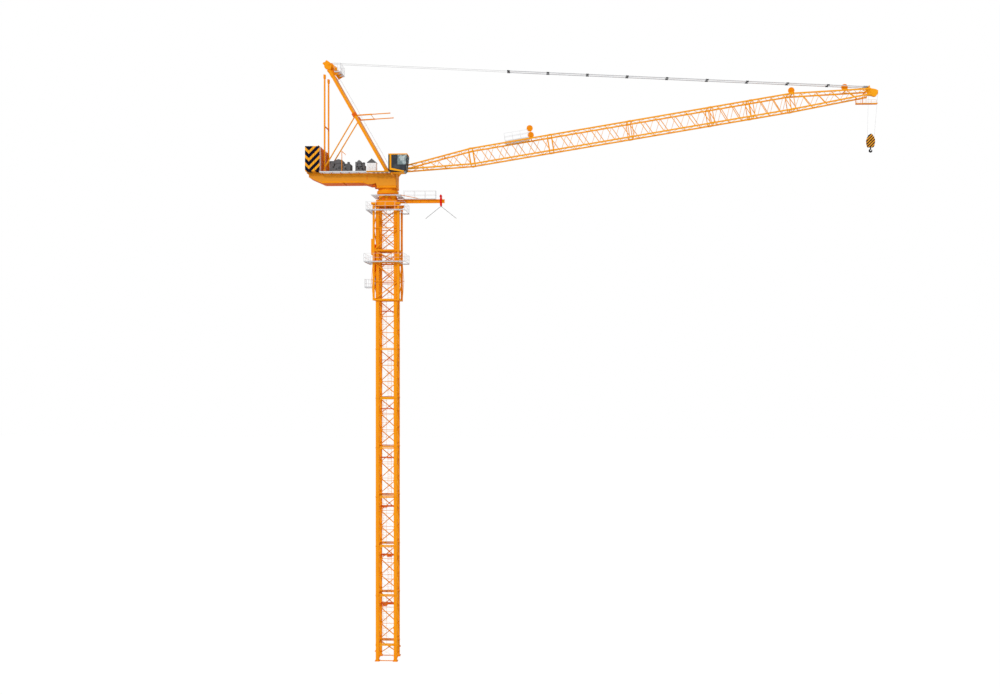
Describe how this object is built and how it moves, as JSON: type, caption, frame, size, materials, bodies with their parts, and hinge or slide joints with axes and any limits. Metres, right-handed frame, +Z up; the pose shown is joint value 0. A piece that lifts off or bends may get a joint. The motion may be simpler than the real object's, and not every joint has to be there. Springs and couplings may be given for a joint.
{
  "type": "model luffing-jib tower crane",
  "caption": "One-tenth scale luffing tower crane: lattice mast with climbing cage, slewing machinery deck with A-frame and counterweights, laced jib on pendants and a hook block.",
  "frame": {"origin": "centre of the mast on the ground, in the plane of the undersides of the four foot plates", "axes": "+Z up the mast, +X along the jib, +Y to the far side, with the operator's cab on the -Y side"},
  "size_m": [6.912, 0.568, 7.3365],
  "materials": {
    "orange_paint": "satin",
    "girder_paint": "satin",
    "red_paint": "satin",
    "grey_paint": "satin",
    "cabinet_paint": "satin",
    "weight_paint": "satin",
    "galvanised": "matte",
    "dark_steel": "satin",
    "wire": "matte",
    "cab_glass": "gloss"
  },
  "bodies": {
    "mast": {"base_frame": "orange_paint", "mast_base_section": "orange_paint", "mast_section_1": "orange_paint", "mast_section_2": "orange_paint", "mast_section_3": "orange_paint", "mast_section_4": "orange_paint", "mast_section_5": "orange_paint", "mast_section_6": "orange_paint", "mast_section_7": "orange_paint", "mast_section_8": "orange_paint", "mast_top_section": "orange_paint", "climbing_cage": "orange_paint", "climbing_hydraulics": "orange_paint", "upper_platform": "galvanised", "lower_platform": "galvanised", "side_platform": "galvanised", "lower_turntable": "orange_paint", "ring_platform": "galvanised", "slewing_ring": "dark_steel", "feed_beam": "orange_paint"},
    "feed_trolley": {"feed_trolley": "red_paint", "trolley_arms": "red_paint"},
    "upperworks": {"upper_turntable": "orange_paint", "machinery_deck": "girder_paint", "heel_pins": "dark_steel", "deck_walkways": "galvanised", "counterweights": "weight_paint", "a_frame_legs": "orange_paint", "rear_ties": "orange_paint", "a_frame_head": "orange_paint", "a_frame_braces": "orange_paint", "back_stops": "orange_paint", "head_platform": "galvanised", "hoisting_winch": "grey_paint", "luffing_winch": "grey_paint", "electrical_cabinet": "cabinet_paint", "davit": "orange_paint", "cab_body": "orange_paint", "cab_glass": "cab_glass"},
    "a_frame_sheaves": {"a_frame_sheaves": "orange_paint"},
    "jib": {"jib_heel": "orange_paint", "jib_section_1": "orange_paint", "jib_section_2": "orange_paint", "jib_section_3": "orange_paint", "jib_short_section_1": "orange_paint", "jib_short_section_2": "orange_paint", "jib_tip": "orange_paint", "guide_sheave_posts": "orange_paint", "jib_walkway": "galvanised", "tip_platform": "galvanised"},
    "tip_wheel": {"tip_wheel": "orange_paint"},
    "low_guide_sheave": {"low_guide_sheave": "orange_paint"},
    "high_guide_sheave": {"high_guide_sheave": "orange_paint"},
    "mid_guide_sheave": {"mid_guide_sheave": "orange_paint"},
    "outer_guide_sheave": {"outer_guide_sheave": "orange_paint"},
    "pendants": {"pendants": "orange_paint", "luffing_ropes": "wire"},
    "hoist_fall": {"hoisting_ropes": "wire"},
    "hook_block": {"hook_block": "orange_paint"},
    "hook": {"hook": "dark_steel"}
  },
  "joints": [
    {"name": "slew", "type": "hinge", "parent": "mast", "child": "upperworks", "pos_m": [0, 0, 5.685], "axis": [0, 0, 1], "continuous": true},
    {"name": "luff", "type": "hinge", "parent": "upperworks", "child": "jib", "pos_m": [0.16, 0, 6.0005], "axis": [0, -1, 0], "range_deg": [0, 72], "deforming": ["luffing_ropes"]},
    {"name": "pendants_turn", "type": "hinge", "parent": "jib", "child": "pendants", "pos_m": [5.80506, 0, 6.94215], "axis": [0, -1, 0], "range_deg": [-0.6, 0.6]},
    {"name": "fall_turn", "type": "hinge", "parent": "jib", "child": "hoist_fall", "pos_m": [5.83573, 0, 6.83763], "axis": [0, -1, 0], "range_deg": [-72, 0]},
    {"name": "hoist", "type": "slide", "parent": "hoist_fall", "child": "hook_block", "axis": [0, 0, -1], "range_m": [0, 6.1], "deforming": ["hoisting_ropes"]},
    {"name": "hook_turn", "type": "hinge", "parent": "hook_block", "child": "hook", "pos_m": [5.83573, 0, 6.22363], "axis": [0, 0, 1], "continuous": true},
    {"name": "trolley_travel", "type": "slide", "parent": "mast", "child": "feed_trolley", "axis": [1, 0, 0], "range_m": [-0.045, 0.028]},
    {"name": "head_sheaves_turn", "type": "hinge", "parent": "upperworks", "child": "a_frame_sheaves", "pos_m": [-0.7, 0, 7.2765], "axis": [0, 1, 0], "continuous": true},
    {"name": "tip_wheel_turn", "type": "hinge", "parent": "jib", "child": "tip_wheel", "pos_m": [5.88173, 0, 6.88163], "axis": [0, 1, 0], "continuous": true},
    {"name": "low_guide_turn", "type": "hinge", "parent": "jib", "child": "low_guide_sheave", "pos_m": [1.75476, 0, 6.41176], "axis": [0, 1, 0], "continuous": true},
    {"name": "high_guide_turn", "type": "hinge", "parent": "jib", "child": "high_guide_sheave", "pos_m": [1.74149, 0, 6.49369], "axis": [0, 1, 0], "continuous": true},
    {"name": "mid_guide_turn", "type": "hinge", "parent": "jib", "child": "mid_guide_sheave", "pos_m": [4.89433, 0, 6.91722], "axis": [0, 1, 0], "continuous": true},
    {"name": "outer_guide_turn", "type": "hinge", "parent": "jib", "child": "outer_guide_sheave", "pos_m": [5.52742, 0, 6.94885], "axis": [0, 1, 0], "continuous": true}
  ],
  "couplings": [
    {"joint": "pendants_turn", "follows": "luff", "ratio": -0.00483},
    {"joint": "fall_turn", "follows": "luff", "ratio": -1}
  ]
}
